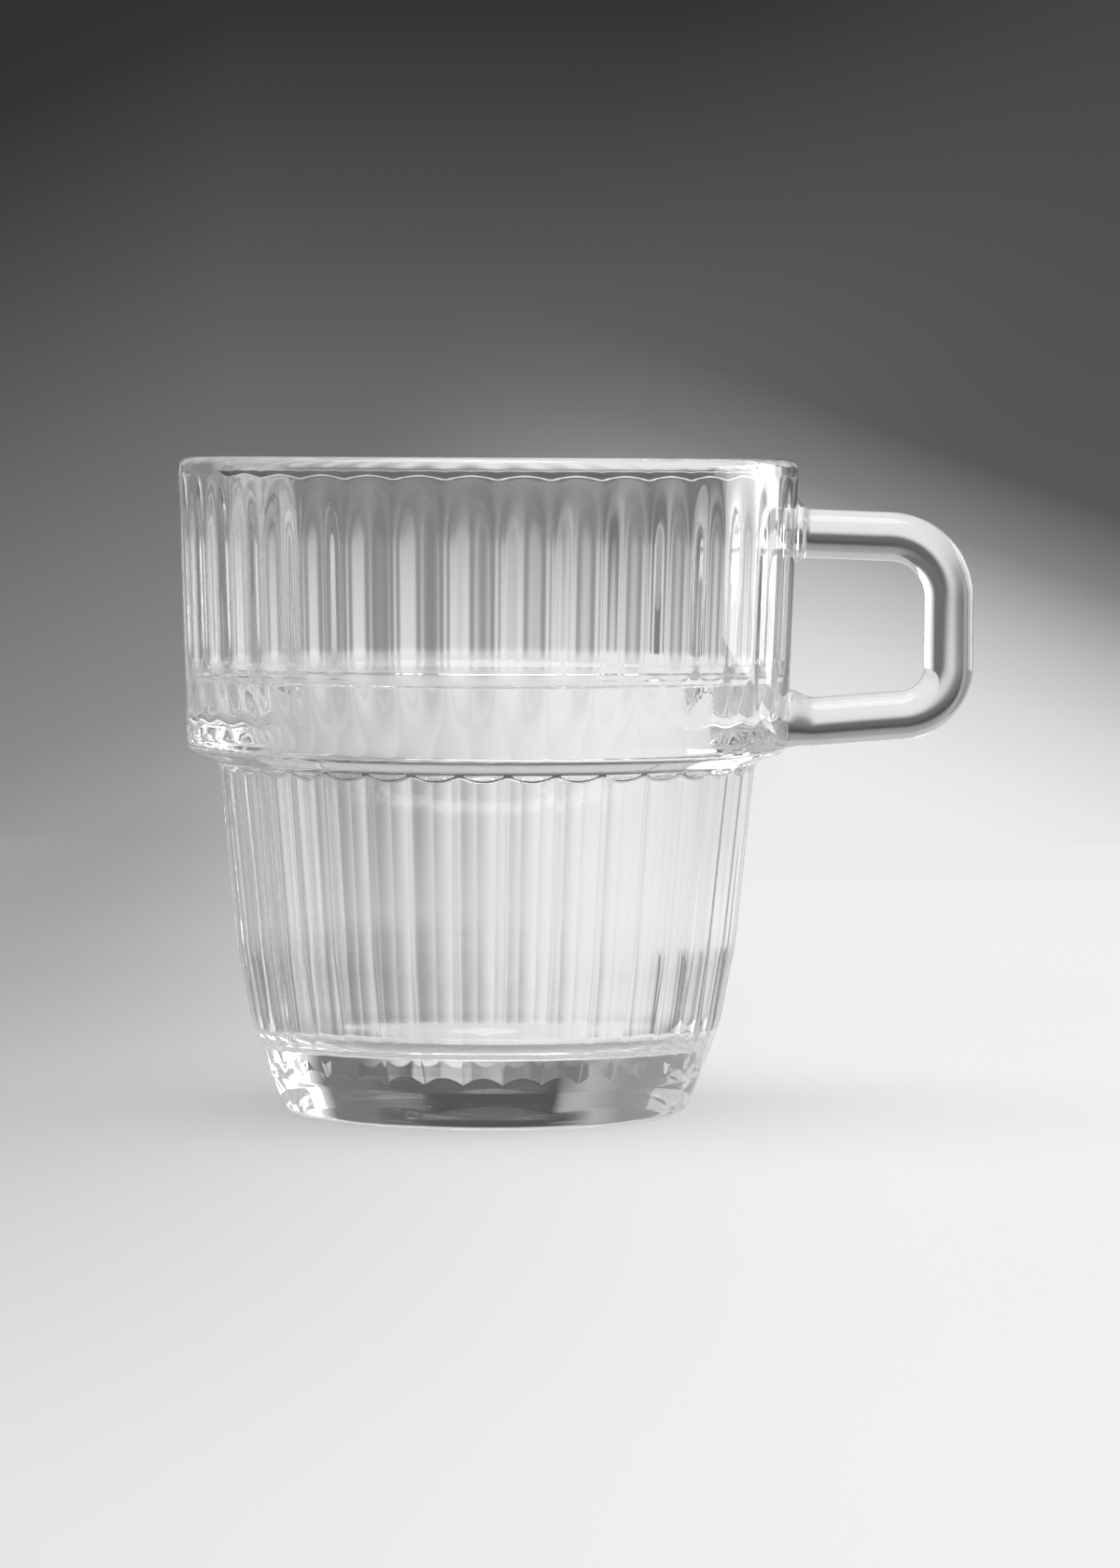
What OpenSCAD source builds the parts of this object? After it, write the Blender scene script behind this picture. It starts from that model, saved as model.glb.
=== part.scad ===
/* [Cup] */
// Height from the table to the top of the lip
cup_height = 80; // [76:0.5:88]
// Outer diameter of the wide upper section, measured at the lip
lip_diameter = 76; // [75:0.5:80]
// Outer diameter of the upper section at the shoulder's lower edge
shoulder_diameter = 73.6; // [72:0.1:75]
// Height of the shoulder's lower edge over the table
shoulder_height = 44.3; // [41:0.1:47]
// How far the shoulder steps in to the lower wall
shoulder_step = 3.8; // [3.2:0.1:4.5]
// How far the shoulder's underside drops on its way in
shoulder_drop = 1.65; // [0.8:0.05:2.4]
// Height of the knee, where the lower wall leans in more
knee_height = 18; // [15:0.5:22]
// How far the lower wall leans in from the shoulder to the knee
knee_inset = 2.5; // [1.5:0.1:3.2]
// Height of the smooth band round the foot
band_height = 7; // [5.5:0.1:9]
// How far the lower wall leans in from the knee to that band
band_inset = 3.1; // [2.4:0.1:4]
// How far the foot's edge is set in from the top of the band
foot_inset = 2.75; // [2:0.05:4]
// Depth of the dished underside
dish_depth = 0.9; // [0.4:0.1:1.6]
// Width of the flat ring that the cup stands on
foot_ring_width = 3; // [2:0.1:5]

/* [Inside] */
// Thickness of the upper wall at the lip, over the crest of a reed
lip_wall = 3.6; // [3:0.1:4.2]
// Thickness of the upper wall over the ledge, over the crest of a reed
shoulder_wall = 3.3; // [2.8:0.1:4]
// Thickness of the lower wall at the shoulder, over the crest of a reed
root_wall = 3.6; // [2.8:0.1:4.2]
// Thickness of the wall at the inside floor, measured from the smooth band
floor_wall = 1.6; // [1.2:0.1:2.6]
// Height at which the upper wall would meet the ledge inside the shoulder
ledge_height = 54.2; // [51:0.1:57]
// Width of the ledge
ledge_width = 1.2; // [1:0.1:2]
// How far the ledge falls towards the middle
ledge_fall = 1.2; // [1:0.1:1.8]
// Height at which the slope under the ledge runs into the inside wall
slope_foot_height = 44; // [42:0.1:46]
// Height of the inside floor over the table
floor_height = 8.9; // [7:0.1:10]

/* [Edges] */
// Radius on the outer and inner corners of the lip
lip_round = 1.4; // [0.8:0.1:1.6]
// Radius on the shoulder's outer edge
shoulder_round = 1.3; // [0.6:0.1:1.8]
// Radius of the fillet between the shoulder and the lower wall
root_round = 1.4; // [1:0.1:1.8]
// Radius on the edge of the foot
foot_round = 0.9; // [0.4:0.1:1.4]
// Radius in the corner between the inside floor and wall
floor_round = 4.5; // [3:0.1:6]
// Radius of the fillet between the upper wall and the ledge
ledge_fillet = 3; // [1.5:0.1:3.2]
// Radius on the inner edge of the ledge
ledge_round = 0.6; // [0.3:0.1:1]
// Radius where the slope under the ledge runs into the inside wall
slope_round = 20; // [5:1:30]

/* [Reeding] */
// Number of reeds round each section
reed_count = 36; // [32:1:40]
// Radius of each outer reed of the lower section
outer_reed_round = 7; // [6:0.1:9]
// Radius of each inner reed of the upper section
inner_reed_round = 10; // [8:0.1:12]
// Height under the lip at which the inner reeds run into the plain band
lip_band = 2.6; // [2:0.1:4]

/* [Handle] */
// Thickness of the round glass rod
handle_thickness = 6; // [5:0.1:6.6]
// Distance from the cup's axis to the middle of the upright grip
grip_reach = 56.55; // [54:0.05:60]
// Height of the upper arm's middle where it meets the wall
upper_arm_height = 71; // [68:0.1:72]
// Angle at which the upper arm falls on its way out, in degrees
upper_arm_fall = 2; // [1:0.5:5]
// Radius of the bend between the upper arm and the grip, at the rod's middle
upper_bend = 7.4; // [5:0.1:9]
// Height of the lower arm's middle where it meets the wall
lower_arm_height = 47.6; // [47.4:0.1:50]
// Angle at which the lower arm rises on its way out, in degrees
lower_arm_rise = 4.6; // [1:0.1:8]
// Radius of the bend between the lower arm and the grip, at the rod's middle
lower_bend = 6; // [4.5:0.1:8]
// Radius of the flare where the upper arm is fused on
upper_flare = 2; // [1:0.1:2.5]
// Growth of the lower arm's radius where it is fused on
lower_flare = 0.6; // [0.3:0.05:1]

/* [Hidden] */
fine = 144;
medium = 64;
arc_steps = 6;
// How far a crest stands proud of the wall, so that the two cross cleanly
crest_proud = 0.015;
// How much further proud it stands at its upper end
crest_spread = 0.05;
overrun = 1;
pitch = 360 / reed_count;
// Drop from the shoulder's root to the reeds' scalloped tops
scallop_top = 0.4;
// A groove is cut by a wedge this share of the pitch wide
wedge_share = 0.98;

lip_r = lip_diameter / 2;
shoulder = [shoulder_diameter / 2, shoulder_height];
root = [shoulder.x - shoulder_step, shoulder_height - shoulder_drop];
knee = [root.x - knee_inset, knee_height];
band = [knee.x - band_inset, band_height];
foot_r = band.x - foot_inset;
ring_r = foot_r - foot_round - foot_ring_width;
lip_outer = [lip_r, cup_height];
lip_inner = [lip_r - lip_wall, cup_height];
bore_low = [shoulder.x - shoulder_wall, ledge_height];
ledge_inner = [bore_low.x - ledge_width, ledge_height - ledge_fall];
slope_foot = [root.x - root_wall, slope_foot_height];
well_low = [band.x - floor_wall, floor_height];

rod_r = handle_thickness / 2;
// The straight lengths are this much slimmer than the bends, and run on into them by the lap
rod_ease = 0.02;
bend_lap = 0.4;
// Angle through which the upper flare's fillet turns before it meets the wall
flare_turn = 68;
// Length over which the lower arm widens
flare_run = 3;
// Distance from the axis at which the arms' heights are given
arm_r = (lip_r + shoulder.x) / 2;
// How far each arm would run on into the wall, where the wall's own shape ends it
root_depth = lip_r - shoulder.x + overrun;
upper_end_r = grip_reach - upper_bend * (1 - sin(upper_arm_fall));
lower_end_r = grip_reach - lower_bend * (1 - sin(lower_arm_rise));
upper_length = (upper_end_r - arm_r) / cos(upper_arm_fall);
lower_length = (lower_end_r - arm_r) / cos(lower_arm_rise);
upper_centre = [
  grip_reach - upper_bend,
  upper_arm_height - upper_length * sin(upper_arm_fall) - upper_bend * cos(upper_arm_fall)
];
lower_centre = [
  grip_reach - lower_bend,
  lower_arm_height + lower_length * sin(lower_arm_rise) + lower_bend * cos(lower_arm_rise)
];

function unit(v) = v / norm(v);
function turned(v, a) = [v.x * cos(a) - v.y * sin(a), v.x * sin(a) + v.y * cos(a)];

// Points of the arc that rounds corner b of the line a, b, c
function rounded(a, b, c, r) =
  let (
    u = unit(a - b),
    w = unit(c - b),
    half = acos(u * w) / 2,
    centre = b + unit(u + w) * r / sin(half),
    start = b + u * r / tan(half) - centre,
    end = b + w * r / tan(half) - centre,
    turn = atan2(cross(start, end), start * end)
  )
  [for (i = [0 : arc_steps]) centre + turned(start, turn * i / arc_steps)];

// Half section of the cup with plain walls, from the middle of the underside round to the floor
function cup_section() = concat(
  [for (i = [0 : arc_steps]) [ring_r * i / arc_steps, dish_depth * (1 - pow(i / arc_steps, 2))]],
  rounded([ring_r, 0], [foot_r, 0], band, foot_round),
  [band, knee],
  rounded(knee, root, shoulder, root_round),
  rounded(root, shoulder, lip_outer, shoulder_round),
  rounded(shoulder, lip_outer, lip_inner, lip_round),
  rounded(lip_outer, lip_inner, bore_low, lip_round),
  rounded(lip_inner, bore_low, ledge_inner, ledge_fillet),
  rounded(bore_low, ledge_inner, slope_foot, ledge_round),
  rounded(ledge_inner, slope_foot, well_low, slope_round),
  rounded(slope_foot, well_low, [0, floor_height], floor_round),
  [[0, floor_height]]
);

// A long cylinder whose side lies along the line from low to high, in the X-Z plane;
// side is -1 where the reed bulges away from the axis, 1 where it bulges towards it
module reed_rod(low, high, round, side) {
  rise = high.y - low.y;
  lean = atan2(high.x - low.x - side * crest_spread, rise);
  translate([low.x - side * crest_proud, 0, low.y])
    rotate([0, lean, 0])
      translate([side * round, 0, -rise])
        cylinder(h = 3 * rise, r = round, $fn = medium);
}

// The strip between two crests, as an outline in the X-Z plane with a width in Y
module strip(outline, crest_r) {
  width = 2 * crest_r * sin(pitch * wedge_share / 2);
  translate([0, width / 2, 0])
    rotate([90, 0, 0])
      linear_extrude(width) polygon(outline);
}

// One straight length of groove: the strip less the two reeds beside it
module groove(outline, low, high, round, side) {
  difference() {
    strip(outline, low.x);
    for (turn = [-1, 1])
      rotate([0, 0, turn * pitch / 2]) reed_rod(low, high, round, side);
  }
}

module upper_outer_groove()
  groove([
    [knee.x - overrun, knee.y - overrun], [knee.x + overrun / 2, knee.y - overrun],
    [root.x + overrun, root.y - scallop_top], [root.x - overrun, root.y - scallop_top - overrun]
  ], knee, root, outer_reed_round, -1);

module lower_outer_groove()
  groove([
    [band.x - overrun, band.y - overrun], [band.x + overrun, band.y + overrun],
    [knee.x + overrun, knee.y + overrun], [knee.x - overrun, knee.y + overrun]
  ], band, knee, outer_reed_round, -1);

module inner_groove()
  groove([
    [bore_low.x - overrun, bore_low.y + ledge_fillet - overrun], [bore_low.x + overrun, bore_low.y + ledge_fillet],
    [lip_inner.x + overrun, cup_height - lip_band - overrun / 2],
    [lip_inner.x - overrun, cup_height - lip_band + overrun / 2]
  ], bore_low, lip_inner, inner_reed_round, 1);

module glass_body() {
  color([0.86, 0.9, 0.9, 0.5])
    difference() {
      rotate_extrude($fn = fine) polygon(cup_section());
      for (i = [0 : reed_count - 1]) rotate([0, 0, i * pitch]) upper_outer_groove();
      for (i = [0 : reed_count - 1]) rotate([0, 0, i * pitch]) lower_outer_groove();
      for (i = [0 : reed_count - 1]) rotate([0, 0, i * pitch]) inner_groove();
    }
}

// Half section of the upper arm from inside its bend, with the flare's fillet at its far end
function arm_section() = concat(
  [[0, 0], [rod_r - rod_ease, 0], [rod_r - rod_ease, bend_lap + upper_length - upper_flare]],
  [for (i = [0 : arc_steps])
    let (turn = flare_turn * i / arc_steps)
    [
      rod_r - rod_ease + upper_flare * (1 - cos(turn)),
      bend_lap + upper_length - upper_flare * (sin(flare_turn) - sin(turn))
    ]
  ],
  [
    [rod_r - rod_ease + upper_flare * (1 - cos(flare_turn)), bend_lap + upper_length + root_depth],
    [0, bend_lap + upper_length + root_depth]
  ]
);

// The handle's pieces are drawn flat, with the height along Y, and stood up afterwards
module bend(round, from, turn) {
  rotate([0, 0, from])
    rotate_extrude(angle = turn, $fn = fine)
      translate([round, 0]) circle(r = rod_r, $fn = medium);
}

module upper_elbow() {
  translate([upper_centre.x, upper_centre.y, 0]) {
    bend(upper_bend, 0, 90 - upper_arm_fall);
    rotate([0, 0, 90 - upper_arm_fall])
      translate([upper_bend, -bend_lap, 0])
        rotate([-90, 0, 0])
          rotate_extrude($fn = medium) polygon(arm_section());
  }
}

module lower_elbow() {
  translate([lower_centre.x, lower_centre.y, 0]) {
    bend(lower_bend, lower_arm_rise - 90, 90 - lower_arm_rise);
    rotate([0, 0, lower_arm_rise - 90])
      translate([lower_bend, bend_lap, 0])
        rotate([90, 0, 0]) {
          cylinder(h = bend_lap + lower_length + root_depth, r = rod_r - rod_ease, $fn = medium);
          translate([0, 0, bend_lap + lower_length - flare_run])
            rotate([0, -atan2(lower_flare, flare_run), 0])
              cylinder(h = flare_run + root_depth, r1 = rod_r - crest_spread, r2 = rod_r + lower_flare, $fn = medium);
        }
  }
}

module grip() {
  translate([grip_reach, lower_centre.y - bend_lap, 0])
    rotate([-90, 0, 0])
      cylinder(h = upper_centre.y - lower_centre.y + 2 * bend_lap, r = rod_r - rod_ease, $fn = medium);
}

// The upper section's outside as a solid, which ends the arms flush with the wall
module wall_envelope() {
  rotate_extrude($fn = fine)
    polygon(concat(
      [[0, root.y]],
      rounded(root, shoulder, lip_outer, shoulder_round),
      rounded(shoulder, lip_outer, lip_inner, lip_round),
      [[0, cup_height]]
    ));
}

module handle() {
  color([0.86, 0.9, 0.9, 0.5])
    difference() {
      rotate([90, 0, 0]) {
        upper_elbow();
        grip();
        lower_elbow();
      }
      wall_envelope();
    }
}

glass_body();
handle();
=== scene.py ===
import math
from collections import namedtuple

import bmesh
import bpy
from mathutils import Matrix, Vector


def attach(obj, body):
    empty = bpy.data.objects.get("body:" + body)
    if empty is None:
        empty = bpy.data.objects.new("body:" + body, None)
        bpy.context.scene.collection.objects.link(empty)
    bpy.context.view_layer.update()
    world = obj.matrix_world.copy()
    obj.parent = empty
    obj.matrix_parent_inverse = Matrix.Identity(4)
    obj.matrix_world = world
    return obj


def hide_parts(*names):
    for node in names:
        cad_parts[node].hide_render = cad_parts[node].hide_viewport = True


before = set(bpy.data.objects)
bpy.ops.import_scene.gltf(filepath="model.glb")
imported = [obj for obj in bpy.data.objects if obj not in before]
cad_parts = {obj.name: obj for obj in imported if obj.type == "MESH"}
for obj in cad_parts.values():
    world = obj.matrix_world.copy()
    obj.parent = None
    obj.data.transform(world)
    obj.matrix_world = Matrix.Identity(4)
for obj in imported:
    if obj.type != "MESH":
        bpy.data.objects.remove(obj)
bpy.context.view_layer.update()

MM = 0.001

# Cup, in millimetres. A corner of its outline is a radius and a height, and has a rounding radius.
CUP_HEIGHT = 80.0
LIP_R = 38.0
LIP_WALL = 3.6
LIP_ROUND = 1.4
SHOULDER = (36.8, 44.3)
SHOULDER_ROUND = 1.3
ROOT = (33.0, 43.0)
ROOT_ROUND = 1.2
KNEE = (30.75, 20.5)
KNEE_ROUND = 40.0
HEEL = (28.9, 10.8)
HEEL_ROUND = 20.0
BAND = (27.3, 6.6)
BAND_ROUND = 6.0
FOOT_R = 24.65
FOOT_ROUND = 0.9
RING_R = 20.75
DISH = 0.9
BORE_R = 33.5
LEDGE_Z = 54.2
LEDGE_WIDTH = 1.2
LEDGE_FALL = 1.2
LEDGE_FILLET = 3.0
LEDGE_ROUND = 0.6
SLOPE_FOOT = (29.4, 44.0)
SLOPE_ROUND = 20.0
WELL_FLOOR_R = 25.8
FLOOR_Z = 8.9
FLOOR_ROUND = 2.5
FLOOR_HUB_R = 0.2

# Meshes, as counts of steps and the longest stretch between two rows of the cup
COLUMNS_PER_REED = 20
ARC_STEPS = 8
ROW_STEP = 0.35
ZONE_DIVISIONS = 3
ROD_COLUMNS = 64
ARM_STEPS = 28
BEND_STEPS = 20
GRIP_STEPS = 6

# Reeds on both walls
REEDS = 36

# Flutes on the outside of the lower section, in millimetres
OUTER_TOP_Z = 42.9
OUTER_TOP_RUN = 0.4
OUTER_FOOT_Z = 4.6
OUTER_FOOT_RISE = 1.9
# How far the middle of a flute starts under the ridges
OUTER_SCALLOP = 0.7
# How deep the ridges lie under the plain wall, and the flutes under the ridges
OUTER_STEP = 0.1
OUTER_REED_DEPTH = 0.15
RIDGE_SHARE = 0.1
# How far the closer rows reach past the flutes' ends
OUTER_TOP_MARGIN = 0.2
OUTER_FOOT_MARGINS = (0.2, 0.3)

# Reeds on the inside of the upper section, in millimetres, turned by a quarter of their pitch
INNER_TOP_Z = 78.6
INNER_FOOT_Z = 46.0
INNER_SCALLOP = 0.35
INNER_REED_DEPTH = 0.34
INNER_START_SHARE = 0.12
INNER_FADE = 9.0
INNER_FOOT_FADE = 9.0
INNER_TURN = COLUMNS_PER_REED // 4
# The step that runs round under the lip's plain band
LIP_STEP = 0.07
LIP_STEP_RUN = 0.7
LIP_STEP_FADE = 15.0

# Handle, in millimetres and degrees
ROD_R = 3.0
GRIP_X = 56.55
UPPER_ARM_Z = 71.0
UPPER_FALL = 2.0
UPPER_BEND = 7.4
LOWER_ARM_Z = 47.6
LOWER_RISE = 4.6
LOWER_BEND = 6.0
# Distance from the cup's axis at which the arms' heights are given
ARM_R = 37.4
# The upper foot grows along part of an arc, the lower one along an S curve
UPPER_FLARE_RUN = 1.9
UPPER_FLARE_GROWTH = 1.25
UPPER_FLARE_ARC_SHARE = 0.86
LOWER_FLARE_RUN = 3.0
LOWER_FLARE_GROWTH = 0.6
# Length over which the rod's rings bend to the wall, and how far they stay clear of it
ROD_FOOT_RUN = 4.0
ROD_FOOT_GAP = 0.01
# Power by which the rod's rings crowd towards a foot
ROD_FOOT_CROWDING = 1.6
# Rings of the disc that closes a foot, as shares of its radius
ROD_DISC_SHARES = (0.75, 0.5, 0.25)

# Glass
GLASS_IOR = 1.52
CUP_COLOUR = (0.998, 0.995, 0.998)
CUP_ROUGHNESS = 0.0
HANDLE_COLOUR = (0.93, 0.92, 0.93)
HANDLE_ROUGHNESS = 0.07
# Light is turned back inside the glass many times before it leaves
BOUNCES = 40

# Stage, in millimetres
WALL_Y = 500.0
WALL_TOP = 420.0
FLOOR_FRONT = -900.0
STAGE_HALF = 1600.0
PAPER_ROUGHNESS = 0.9

# Painted light and shade, as tones from 0 to 255 up the backdrop and back along the floor, each at a
# share of the length. Both sides of the backdrop darken upwards to a painted dark band below half its
# height and lighten above it, the left one more dimly, where less light falls; the floor's left side
# darkens towards the back, where its right side stays nearly even
WALL_LEFT_SHARES = (
    (0.0, 157), (0.04, 155), (0.086, 138), (0.141, 125), (0.202, 109), (0.254, 95), (0.31, 80),
    (0.366, 65), (0.412, 52), (0.475, 48), (0.52, 110), (0.6, 140), (1.0, 170),
)
WALL_RIGHT_SHARES = (
    (0.0, 236), (0.025, 231), (0.063, 216), (0.1, 187), (0.14, 131),
    (0.18, 88), (0.43, 72), (0.47, 110), (0.6, 140), (1.0, 170),
)
FLOOR_LEFT_SHARES = (
    (0.0, 232), (0.44, 223), (0.53, 210), (0.61, 198), (0.64, 193),
    (0.7, 181), (0.78, 169), (0.89, 161), (1.0, 157),
)
FLOOR_RIGHT_SHARES = ((0.0, 240), (0.65, 242), (0.78, 241), (0.89, 239), (1.0, 236))

# The left tones, with their deeper painted shade, give way to the right ones between these two lines,
# which lean to the right along the painted shade's edge
BLEND_LEFT_X = -92.0
BLEND_RIGHT_X = 50.0
BLEND_RISE = -0.65
# How steeply the backdrop's painted light and shade tilt to the side, and where they keep their height
TILT_LEFT = -0.42
TILT_LEFT_X = -60.0
TILT_RIGHT = 0.36
TILT_RIGHT_X = 107.0

# Painted light and shade beyond the picture's sides, which only the glass shows: bright and dark bands
# that stand in for the studio's lights and dark surroundings, as tones over twice SIDE_HALF from the
# left
SIDE_HALF = 600.0
SIDE_NEAR = 125.0
SIDE_FAR = 215.0
WALL_SIDES_SHARES = (
    (0.0, 130), (0.26, 135), (0.33, 170), (0.4, 170),
    (0.6, 100), (0.78, 100), (0.85, 225), (1.0, 225),
)
FLOOR_SIDE_TONE = 225

# The paper glows at its own tone as painted light, though it is no lamp: fully further off, and by the
# NEAR_GLOW share near the object, where the rest of it takes the object's shadow, which the glow
# lightens
SHADOW_NEAR = 90.0
SHADOW_FAR = 260.0
NEAR_GLOW = 0.5

# Light, in millimetres and watts
WORLD_GREY = 0.52
SOFTBOX_WIDTH = 600.0
SOFTBOX_HEIGHT = 400.0
RIGHT_BOX_PLACE = (560, 330, 200)
RIGHT_BOX_AIM = (0, 0, 50)
RIGHT_BOX_POWER = 2.0
TOP_BOX_PLACE = (-60, -60, 700)
TOP_BOX_AIM = (0, 0, 40)
TOP_BOX_POWER = 2.3

# Camera, in millimetres and degrees, but for the clipping distance, which is in metres
CAMERA_X = 8.95
CAMERA_DISTANCE = 710.0
CAMERA_Z = 80.0
AIM_Z = 40.0
CAMERA_LENS = 132.9
CAMERA_SENSOR = 36.0
CAMERA_ROLL = 0.28
CAMERA_CLIP = 0.01


def smooth(t):
    """An S curve from 0 to 1, held at its ends."""
    t = max(0.0, min(1.0, t))
    return t * t * (3 - 2 * t)


def rounded(a, b, c, r, steps=ARC_STEPS):
    """Points of the arc that rounds corner b of the line a, b, c."""
    a, b, c = Vector(a), Vector(b), Vector(c)
    u, w = (a - b).normalized(), (c - b).normalized()
    half = math.acos(max(-1.0, min(1.0, u.dot(w)))) / 2
    centre = b + (u + w).normalized() * r / math.sin(half)
    start = b + u * r / math.tan(half) - centre
    end = b + w * r / math.tan(half) - centre
    turn = math.atan2(start.x * end.y - start.y * end.x, start.dot(end))
    points = []
    for i in range(steps + 1):
        t = turn * i / steps
        points.append((
            centre.x + start.x * math.cos(t) - start.y * math.sin(t),
            centre.y + start.x * math.sin(t) + start.y * math.cos(t),
        ))
    return points


def dense(points, zones=()):
    """The same line with no stretch longer than ROW_STEP, and shorter ones within the height zones."""
    out = [points[0]]
    for a, b in zip(points, points[1:]):
        near = any(max(a[1], b[1]) > low and min(a[1], b[1]) < high for low, high in zones)
        step = ROW_STEP / ZONE_DIVISIONS if near else ROW_STEP
        n = max(1, math.ceil(math.dist(a, b) / step))
        for i in range(1, n + 1):
            out.append((a[0] + (b[0] - a[0]) * i / n, a[1] + (b[1] - a[1]) * i / n))
    return out


LIP_OUT = (LIP_R, CUP_HEIGHT)
LIP_IN = (LIP_R - LIP_WALL, CUP_HEIGHT)
BORE_LOW = (BORE_R, LEDGE_Z)
LEDGE_IN = (BORE_R - LEDGE_WIDTH, LEDGE_Z - LEDGE_FALL)
WELL_LOW = (WELL_FLOOR_R, FLOOR_Z)

UNDERSIDE = [
    (RING_R * i / ARC_STEPS, DISH * (1 - (i / ARC_STEPS) ** 2)) for i in range(1, ARC_STEPS)
]
OUTER_WALL = (
    rounded((RING_R, 0), (FOOT_R, 0), BAND, FOOT_ROUND)
    + rounded((FOOT_R, 0), BAND, HEEL, BAND_ROUND)
    + rounded(BAND, HEEL, KNEE, HEEL_ROUND)
    + rounded(HEEL, KNEE, ROOT, KNEE_ROUND)
    + rounded(KNEE, ROOT, SHOULDER, ROOT_ROUND)
    + rounded(ROOT, SHOULDER, LIP_OUT, SHOULDER_ROUND)
    + rounded(SHOULDER, LIP_OUT, LIP_IN, LIP_ROUND)
)
INNER_WALL = (
    rounded(LIP_OUT, LIP_IN, BORE_LOW, LIP_ROUND)
    + rounded(LIP_IN, BORE_LOW, LEDGE_IN, LEDGE_FILLET)
    + rounded(BORE_LOW, LEDGE_IN, SLOPE_FOOT, LEDGE_ROUND)
    + rounded(LEDGE_IN, SLOPE_FOOT, WELL_LOW, SLOPE_ROUND)
    + rounded(SLOPE_FOOT, WELL_LOW, (0, FLOOR_Z), FLOOR_ROUND)
    + [(FLOOR_HUB_R, FLOOR_Z)]
)
# Heights between which the flutes end, where the cup's rows lie closer
FLUTE_ENDS = (
    (OUTER_FOOT_Z - OUTER_FOOT_MARGINS[0], OUTER_FOOT_Z + OUTER_FOOT_RISE + OUTER_FOOT_MARGINS[1]),
    (OUTER_TOP_Z - OUTER_SCALLOP - OUTER_TOP_RUN, OUTER_TOP_Z + OUTER_TOP_MARGIN),
)


def flute(u):
    """Depth share across an outer flute: 0 on its ridge, which is rounded off, 1 at its middle."""
    if u < RIDGE_SHARE:
        return RIDGE_SHARE + (1 - RIDGE_SHARE) / RIDGE_SHARE * u * u
    return 1 - (1 - u) ** 2


def outer_radius(r, z, u):
    """Outer wall radius where u runs from 0 on a ridge to 1 at the middle of a flute."""
    if z > OUTER_TOP_Z or z < OUTER_FOOT_Z or r < FOOT_R:
        return r
    share = flute(u)
    top = smooth((OUTER_TOP_Z - OUTER_SCALLOP * share - z) / OUTER_TOP_RUN)
    foot_end = r - (OUTER_STEP + OUTER_REED_DEPTH) * (z - OUTER_FOOT_Z) / OUTER_FOOT_RISE
    return max(r - (OUTER_STEP + OUTER_REED_DEPTH * share) * top, foot_end)


def inner_radius(r, z, u):
    """Inner wall radius where u runs from 0 on a crest to 1 in the groove beside it."""
    wave = (1 - math.cos(math.pi * u)) / 2
    line_z = INNER_TOP_Z - INNER_SCALLOP * u * u
    if z > line_z or z < INNER_FOOT_Z:
        return r
    # The step starts at the scalloped line under the lip's band, and the reeds fade in below it
    start = smooth((line_z - z) / LIP_STEP_RUN)
    step = LIP_STEP * start * smooth((z - LEDGE_Z) / LIP_STEP_FADE)
    top = INNER_START_SHARE * start
    top += (1 - INNER_START_SHARE) * smooth((line_z - z) / INNER_FADE)
    foot = smooth((z - INNER_FOOT_Z) / INNER_FOOT_FADE)
    return r + step + INNER_REED_DEPTH * wave * top * foot


def wall_radius(z):
    """Radius of the upper section's outer wall at a height."""
    for (r0, z0), (r1, z1) in zip(OUTER_WALL, OUTER_WALL[1:]):
        if z0 <= z <= z1 and z1 > z0 and z > ROOT[1]:
            return r0 + (r1 - r0) * (z - z0) / (z1 - z0)
    return ROOT[0]


def wall_x(y, z):
    """Where the handle meets the outer wall, on the side of the handle."""
    return math.sqrt(wall_radius(z) ** 2 - y * y) + ROD_FOOT_GAP


def add_object(name, verts, faces, material, flat=False):
    """An object from vertices in millimetres, smooth and turned outwards unless it is flat."""
    mesh = bpy.data.meshes.new(name)
    mesh.from_pydata([Vector(v) * MM for v in verts], [], faces)
    mesh.validate()
    if not flat:
        bm = bmesh.new()
        bm.from_mesh(mesh)
        bmesh.ops.recalc_face_normals(bm, faces=bm.faces)
        bm.to_mesh(mesh)
        bm.free()
        mesh.shade_smooth()
    mesh.materials.append(material)
    obj = bpy.data.objects.new(name, mesh)
    bpy.context.scene.collection.objects.link(obj)
    return obj


def ring_faces(first, second, count):
    """Quads between two rings of vertices, each given by the index of its first vertex."""
    faces = []
    for i in range(count):
        k = (i + 1) % count
        faces.append((first + i, first + k, second + k, second + i))
    return faces


def fan_faces(pole, ring, count):
    """Triangles between a pole and the ring of vertices that starts at an index."""
    return [(pole, ring + i, ring + (i + 1) % count) for i in range(count)]


def cup_ring(r, z, reeded, turn):
    """One row of the cup's vertices, whose radius follows the reeds if it crosses them."""
    columns = REEDS * COLUMNS_PER_REED
    ring = []
    for i in range(columns):
        angle = 2 * math.pi * i / columns
        phase = ((i - turn) % COLUMNS_PER_REED) / COLUMNS_PER_REED
        radius = reeded(r, z, abs(1 - 2 * phase)) if reeded else r
        ring.append((radius * math.cos(angle), radius * math.sin(angle), z))
    return ring


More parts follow.
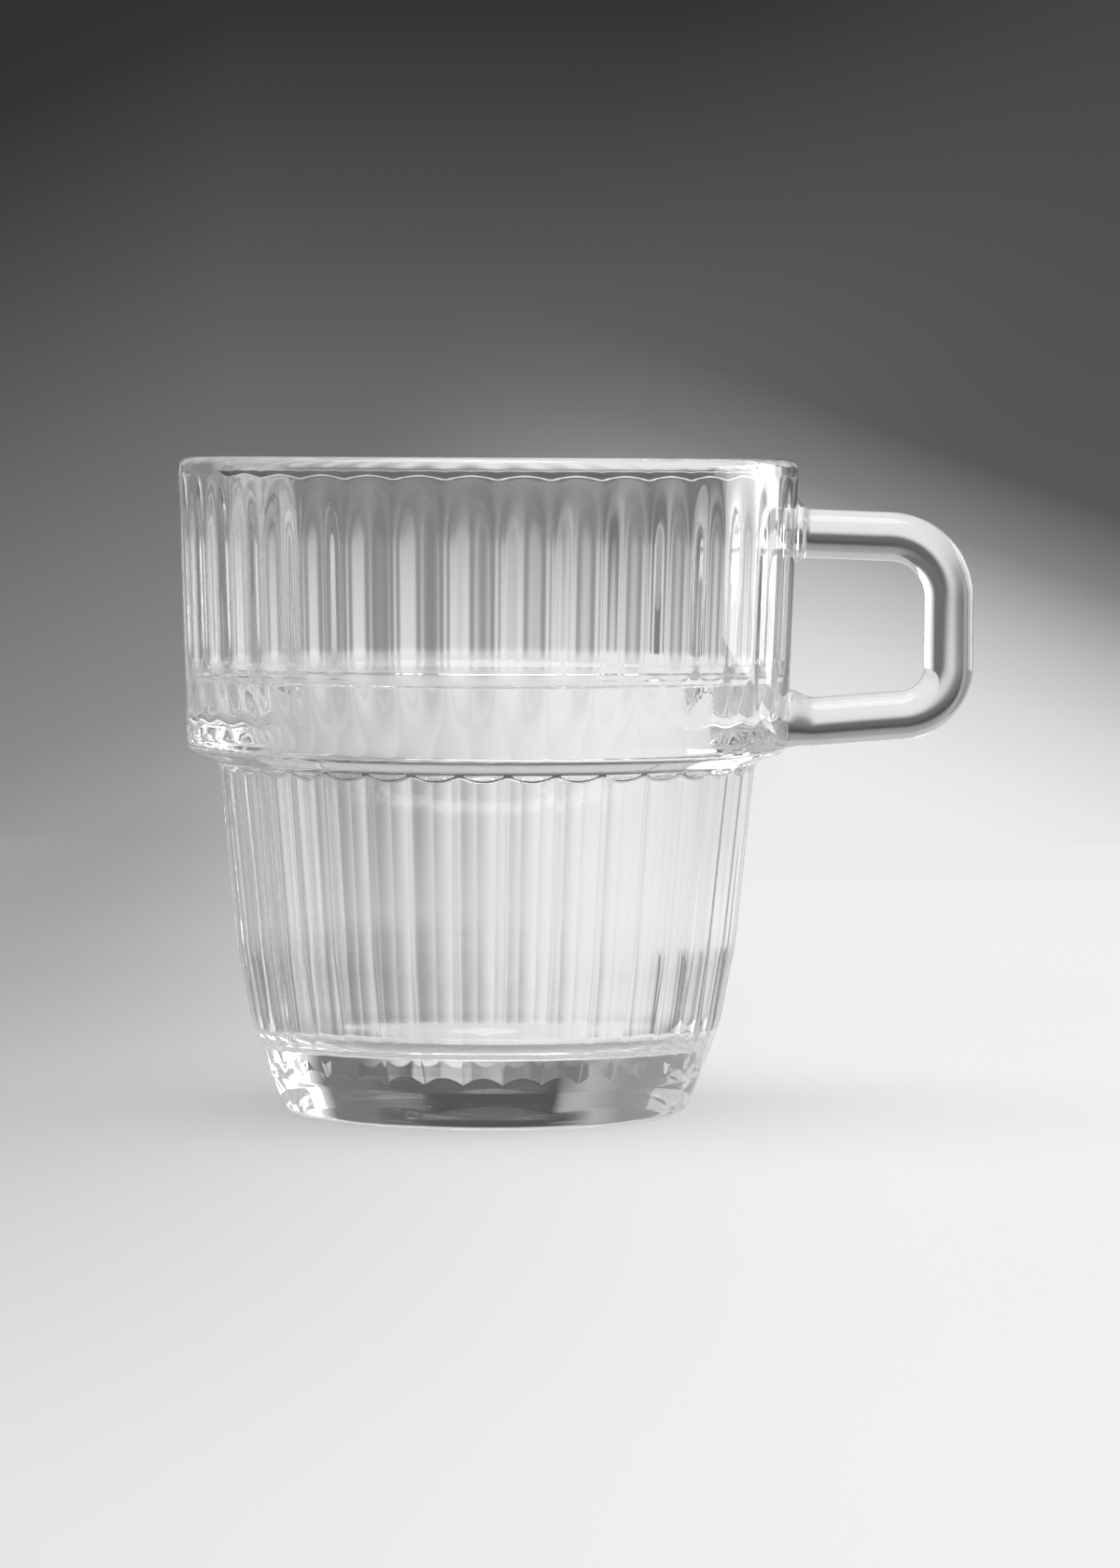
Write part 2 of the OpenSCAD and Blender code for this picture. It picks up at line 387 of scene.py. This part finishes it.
def make_cup(material):
    """The pressed cup: one closed skin, from the middle of the underside to that of the floor."""
    columns = REEDS * COLUMNS_PER_REED
    # The outer wall is made dense twice, so that only its rows at the flutes' ends lie closer
    rings = [cup_ring(r, z, None, 0) for r, z in UNDERSIDE]
    rings += [cup_ring(r, z, outer_radius, 0) for r, z in dense(dense(OUTER_WALL), FLUTE_ENDS)]
    rings += [cup_ring(r, z, inner_radius, INNER_TURN) for r, z in dense(INNER_WALL)]
    verts = [vertex for ring in rings for vertex in ring]
    last = len(verts) - columns
    faces = []
    for first in range(0, last, columns):
        faces += ring_faces(first, first + columns, columns)
    faces += fan_faces(len(verts), 0, columns)
    verts.append((0, 0, DISH))
    faces += fan_faces(len(verts), last, columns)
    verts.append((0, 0, FLOOR_Z))
    return add_object("cup", verts, faces, material)


# A ring of the rod: its middle and normal in the handle's plane, and how near a foot it is, 0 to 1
Station = namedtuple("Station", "centre normal radius near")

FALL = math.radians(UPPER_FALL)
RISE = math.radians(LOWER_RISE)
UPPER_END = GRIP_X - UPPER_BEND * (1 - math.sin(FALL))
LOWER_END = GRIP_X - LOWER_BEND * (1 - math.sin(RISE))
UPPER_LENGTH = (UPPER_END - ARM_R) / math.cos(FALL)
LOWER_LENGTH = (LOWER_END - ARM_R) / math.cos(RISE)
UPPER_CENTRE = Vector((
    GRIP_X - UPPER_BEND,
    UPPER_ARM_Z - UPPER_LENGTH * math.sin(FALL) - UPPER_BEND * math.cos(FALL),
))
LOWER_CENTRE = Vector((
    GRIP_X - LOWER_BEND,
    LOWER_ARM_Z + LOWER_LENGTH * math.sin(RISE) + LOWER_BEND * math.cos(RISE),
))


def upper_arm():
    """Stations from the upper foot to the bend; the foot flares where it meets the wall."""
    up = Vector((math.sin(FALL), math.cos(FALL)))
    out = Vector((math.cos(FALL), -math.sin(FALL)))
    start = UPPER_CENTRE + up * UPPER_BEND - out * UPPER_LENGTH
    full_growth = 1 - math.sqrt(1 - UPPER_FLARE_ARC_SHARE)
    stations = []
    for i in range(ARM_STEPS):
        s = UPPER_LENGTH * (i / ARM_STEPS) ** ROD_FOOT_CROWDING
        t = max(0.0, 1 - s / UPPER_FLARE_RUN)
        growth = (1 - math.sqrt(1 - t * t * UPPER_FLARE_ARC_SHARE)) / full_growth
        radius = ROD_R + UPPER_FLARE_GROWTH * growth
        stations.append(Station(start + out * s, up, radius, smooth(1 - s / ROD_FOOT_RUN)))
    return stations


def bend(centre, bend_radius, start, end):
    """Stations round a bend, at angles over the line that points away from the cup."""
    stations = []
    for i in range(BEND_STEPS):
        a = start + (end - start) * i / BEND_STEPS
        normal = Vector((math.cos(a), math.sin(a)))
        stations.append(Station(centre + normal * bend_radius, normal, ROD_R, 0.0))
    return stations


def grip():
    """Stations down the upright grip."""
    stations = []
    for i in range(GRIP_STEPS):
        z = UPPER_CENTRE.y + (LOWER_CENTRE.y - UPPER_CENTRE.y) * i / GRIP_STEPS
        stations.append(Station(Vector((GRIP_X, z)), Vector((1, 0)), ROD_R, 0.0))
    return stations


def lower_arm():
    """Stations from the bend to the lower foot, which widens upwards only."""
    down = Vector((math.sin(RISE), -math.cos(RISE)))
    out = Vector((math.cos(RISE), math.sin(RISE)))
    start = LOWER_CENTRE + down * LOWER_BEND - out * LOWER_LENGTH
    stations = []
    for i in range(ARM_STEPS + 1):
        s = LOWER_LENGTH * (1 - i / ARM_STEPS) ** ROD_FOOT_CROWDING
        growth = LOWER_FLARE_GROWTH * smooth(1 - s / LOWER_FLARE_RUN)
        centre = start + out * s - down * growth
        stations.append(Station(centre, down, ROD_R + growth, smooth(1 - s / ROD_FOOT_RUN)))
    return stations


def rod_ring(station):
    """Vertices round the rod; near a foot they move to and fro with the curved wall."""
    centre, normal, radius, near = station
    ring = []
    for i in range(ROD_COLUMNS):
        a = 2 * math.pi * i / ROD_COLUMNS
        y = radius * math.sin(a)
        x = centre.x + normal.x * radius * math.cos(a)
        z = centre.y + normal.y * radius * math.cos(a)
        ring.append((x + (wall_x(y, z) - ARM_R) * near, y, z))
    return ring


def foot_ring(station, share):
    """Vertices on the wall itself, at a share of the foot's radius."""
    radius = station.radius * share
    ring = []
    for i in range(ROD_COLUMNS):
        a = 2 * math.pi * i / ROD_COLUMNS
        y = radius * math.sin(a)
        z = station.centre.y + station.normal.y * radius * math.cos(a)
        ring.append((wall_x(y, z), y, z))
    return ring


def close_foot(verts, faces, ring, station):
    """Close the rod's end, whose ring starts at an index, with a disc that follows the wall."""
    for share in ROD_DISC_SHARES:
        inner = len(verts)
        verts += foot_ring(station, share)
        faces += ring_faces(ring, inner, ROD_COLUMNS)
        ring = inner
    faces += fan_faces(len(verts), ring, ROD_COLUMNS)
    verts.append((wall_x(0, station.centre.y), 0, station.centre.y))


def make_handle(material):
    """The glass rod, bent into a D, whose two feet end on the cup's wall."""
    stations = upper_arm()
    stations += bend(UPPER_CENTRE, UPPER_BEND, math.pi / 2 - FALL, 0.0)
    stations += grip()
    stations += bend(LOWER_CENTRE, LOWER_BEND, 0.0, RISE - math.pi / 2)
    stations += lower_arm()
    rings = [foot_ring(stations[0], 1.0)]
    rings += [rod_ring(station) for station in stations[1:-1]]
    rings += [foot_ring(stations[-1], 1.0)]
    verts = [vertex for ring in rings for vertex in ring]
    last = len(verts) - ROD_COLUMNS
    faces = []
    for first in range(0, last, ROD_COLUMNS):
        faces += ring_faces(first, first + ROD_COLUMNS, ROD_COLUMNS)
    close_foot(verts, faces, 0, stations[0])
    close_foot(verts, faces, last, stations[-1])
    return add_object("handle_rod", verts, faces, material)


def glass_material(name, colour, roughness):
    material = bpy.data.materials.new(name)
    material.use_nodes = True
    shader = material.node_tree.nodes["Principled BSDF"]
    shader.inputs["Base Color"].default_value = (*colour, 1)
    shader.inputs["Roughness"].default_value = roughness
    shader.inputs["IOR"].default_value = GLASS_IOR
    shader.inputs["Transmission Weight"].default_value = 1.0
    return material


def cup_glass():
    """Clear polished glass."""
    return glass_material("clear_glass", CUP_COLOUR, CUP_ROUGHNESS)


def handle_glass():
    """The drawn rod's glass, a little greyer and less polished than the cup's."""
    return glass_material("handle_glass", HANDLE_COLOUR, HANDLE_ROUGHNESS)


def grey(value):
    """Scene-linear grey for a picture value from 0 to 255."""
    v = value / 255
    v = v / 12.92 if v <= 0.04045 else ((v + 0.055) / 1.055) ** 2.4
    return (v, v, v, 1)


def feed(tree, socket, value):
    """Set a socket to a plain value, or link it to another node's output."""
    if isinstance(value, bpy.types.NodeSocket):
        tree.links.new(value, socket)
    else:
        socket.default_value = value


def math_node(tree, operation, *values):
    node = tree.nodes.new("ShaderNodeMath")
    node.operation = operation
    for socket, value in zip(node.inputs, values):
        feed(tree, socket, value)
    return node.outputs[0]


def progress(tree, value, low, high, interpolation="LINEAR", start=0.0):
    """How far a value has come from low to high, both in millimetres, from start to 1."""
    node = tree.nodes.new("ShaderNodeMapRange")
    node.interpolation_type = interpolation
    node.inputs["From Min"].default_value = low * MM
    node.inputs["From Max"].default_value = high * MM
    node.inputs["To Min"].default_value = start
    tree.links.new(value, node.inputs["Value"])
    return node.outputs[0]


def tones(tree, share, stops):
    """The tone at a share of the length, between stops."""
    node = tree.nodes.new("ShaderNodeValToRGB")
    elements = node.color_ramp.elements
    while len(elements) < len(stops):
        elements.new(0.5)
    for element, (place, value) in zip(elements, stops):
        element.position = place
        element.color = grey(value)
    tree.links.new(share, node.inputs[0])
    return node.outputs[0]


def mix_colours(tree, share, first, second):
    # Sockets 6 and 7 and output 2 are the Mix node's colours
    node = tree.nodes.new("ShaderNodeMix")
    node.data_type = "RGBA"
    tree.links.new(share, node.inputs["Factor"])
    feed(tree, node.inputs[6], first)
    feed(tree, node.inputs[7], second)
    return node.outputs[2]


def mix_shaders(tree, share, first, second):
    node = tree.nodes.new("ShaderNodeMixShader")
    for socket, value in zip(node.inputs, (share, first, second)):
        tree.links.new(value, socket)
    return node.outputs[0]


def blend_across(tree, place, left, right):
    """Left tones giving way to right ones, along lines that lean with the height."""
    leaning = math_node(tree, "MULTIPLY_ADD", place["Z"], BLEND_RISE, place["X"])
    share = progress(tree, leaning, BLEND_LEFT_X, BLEND_RIGHT_X, "SMOOTHSTEP")
    return mix_colours(tree, share, left, right)


def blend_sides(tree, picture, reach, sides):
    """The picture's tones giving way to those beyond its sides."""
    share = progress(tree, reach, SIDE_NEAR, SIDE_FAR, "SMOOTHSTEP")
    return mix_colours(tree, share, picture, sides)


def tilted_tones(tree, place, x, tilt, tilt_x, stops):
    """Tones up the backdrop that tilt to the side, but keep their height at tilt_x."""
    height = math_node(tree, "MULTIPLY_ADD", x, tilt, place["Z"])
    shift = tilt * tilt_x
    return tones(tree, progress(tree, height, shift, WALL_TOP + shift), stops)


# Painted light and shade on the backdrop, with painted bright and dark bands beyond the picture's
# sides
def backdrop_painted_light(tree, place):
    # The left tones tilt only to the left of TILT_LEFT_X
    left_x = math_node(tree, "MINIMUM", place["X"], TILT_LEFT_X * MM)
    left = tilted_tones(tree, place, left_x, TILT_LEFT, TILT_LEFT_X, WALL_LEFT_SHARES)
    right = tilted_tones(tree, place, place["X"], TILT_RIGHT, TILT_RIGHT_X, WALL_RIGHT_SHARES)
    picture = blend_across(tree, place, left, right)
    sides = tones(tree, progress(tree, place["X"], -SIDE_HALF, SIDE_HALF), WALL_SIDES_SHARES)
    return blend_sides(tree, picture, math_node(tree, "ABSOLUTE", place["X"]), sides)


# Painted light and shade on the floor: darker towards the back on the left, nearly even on the right,
# and an even bright tone beyond the picture's right side
def floor_painted_light(tree, place):
    share = progress(tree, place["Y"], FLOOR_FRONT, WALL_Y)
    left = tones(tree, share, FLOOR_LEFT_SHARES)
    right = tones(tree, share, FLOOR_RIGHT_SHARES)
    picture = blend_across(tree, place, left, right)
    return blend_sides(tree, picture, place["X"], grey(FLOOR_SIDE_TONE))


def paper_material(name, tone):
    """Paper whose colour of painted light and shade comes from a function of the place on it, which
    glows at that colour, and which shows one side only.
    """
    material = bpy.data.materials.new(name)
    material.use_nodes = True
    tree = material.node_tree
    geometry = tree.nodes.new("ShaderNodeNewGeometry")
    split = tree.nodes.new("ShaderNodeSeparateXYZ")
    tree.links.new(geometry.outputs["Position"], split.inputs[0])
    colour = tone(tree, split.outputs)
    paper = tree.nodes["Principled BSDF"]
    paper.inputs["Roughness"].default_value = PAPER_ROUGHNESS
    paper.inputs["Specular IOR Level"].default_value = 0.0
    tree.links.new(colour, paper.inputs["Base Color"])
    glow = tree.nodes.new("ShaderNodeEmission")
    tree.links.new(colour, glow.inputs["Color"])
    distance = tree.nodes.new("ShaderNodeVectorMath")
    distance.operation = "LENGTH"
    tree.links.new(geometry.outputs["Position"], distance.inputs[0])
    share = progress(
        tree, distance.outputs["Value"], SHADOW_NEAR, SHADOW_FAR, "SMOOTHSTEP", NEAR_GLOW,
    )
    front = mix_shaders(tree, share, paper.outputs[0], glow.outputs[0])
    # The back is clear, so that the object can be looked at from behind too
    back = tree.nodes.new("ShaderNodeBsdfTransparent")
    surface = mix_shaders(tree, geometry.outputs["Backfacing"], front, back.outputs[0])
    tree.links.new(surface, tree.nodes["Material Output"].inputs["Surface"])
    return material


def make_backdrop():
    corners = [
        (-STAGE_HALF, WALL_Y, 0), (STAGE_HALF, WALL_Y, 0),
        (STAGE_HALF, WALL_Y, WALL_TOP), (-STAGE_HALF, WALL_Y, WALL_TOP),
    ]
    paper = paper_material("backdrop_paper", backdrop_painted_light)
    return add_object("backdrop", corners, [(0, 1, 2, 3)], paper, flat=True)


def make_floor():
    corners = [
        (-STAGE_HALF, FLOOR_FRONT, 0), (STAGE_HALF, FLOOR_FRONT, 0),
        (STAGE_HALF, WALL_Y, 0), (-STAGE_HALF, WALL_Y, 0),
    ]
    paper = paper_material("floor_paper", floor_painted_light)
    return add_object("floor", corners, [(0, 1, 2, 3)], paper, flat=True)


def make_softbox(name, place, target, power):
    data = bpy.data.lights.new(name, "AREA")
    data.shape = "RECTANGLE"
    data.size, data.size_y = SOFTBOX_WIDTH * MM, SOFTBOX_HEIGHT * MM
    data.energy = power
    light = bpy.data.objects.new(name, data)
    light.location = Vector(place) * MM
    light.rotation_euler = (Vector(target) - Vector(place)).to_track_quat("-Z", "Y").to_euler()
    bpy.context.scene.collection.objects.link(light)


def make_world():
    world = bpy.data.worlds.new("studio")
    bpy.context.scene.world = world
    world.use_nodes = True
    background = world.node_tree.nodes["Background"]
    background.inputs["Color"].default_value = (WORLD_GREY, WORLD_GREY, WORLD_GREY, 1)
    background.inputs["Strength"].default_value = 1.0


def make_camera():
    data = bpy.data.cameras.new("camera")
    data.lens = CAMERA_LENS
    data.sensor_width = CAMERA_SENSOR
    data.clip_start = CAMERA_CLIP
    camera = bpy.data.objects.new("camera", data)
    place = Vector((CAMERA_X, -CAMERA_DISTANCE, CAMERA_Z)) * MM
    aim = Vector((CAMERA_X, 0, AIM_Z)) * MM
    turn = (aim - place).to_track_quat("-Z", "Y").to_matrix().to_4x4()
    roll = Matrix.Rotation(math.radians(CAMERA_ROLL), 4, "Z")
    camera.matrix_world = Matrix.Translation(place) @ turn @ roll
    bpy.context.scene.collection.objects.link(camera)
    bpy.context.scene.camera = camera


cup = make_cup(cup_glass())
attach(cup, "root")
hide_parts("glass_body")

rod = make_handle(handle_glass())
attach(rod, "root")
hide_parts("handle")

wall = make_backdrop()
floor = make_floor()
make_world()
make_softbox("softbox_right", RIGHT_BOX_PLACE, RIGHT_BOX_AIM, RIGHT_BOX_POWER)
make_softbox("softbox_top", TOP_BOX_PLACE, TOP_BOX_AIM, TOP_BOX_POWER)
make_camera()
bpy.context.scene.view_settings.view_transform = "Standard"
bpy.context.scene.cycles.max_bounces = BOUNCES
bpy.context.scene.cycles.transmission_bounces = BOUNCES
bpy.context.scene.cycles.glossy_bounces = BOUNCES
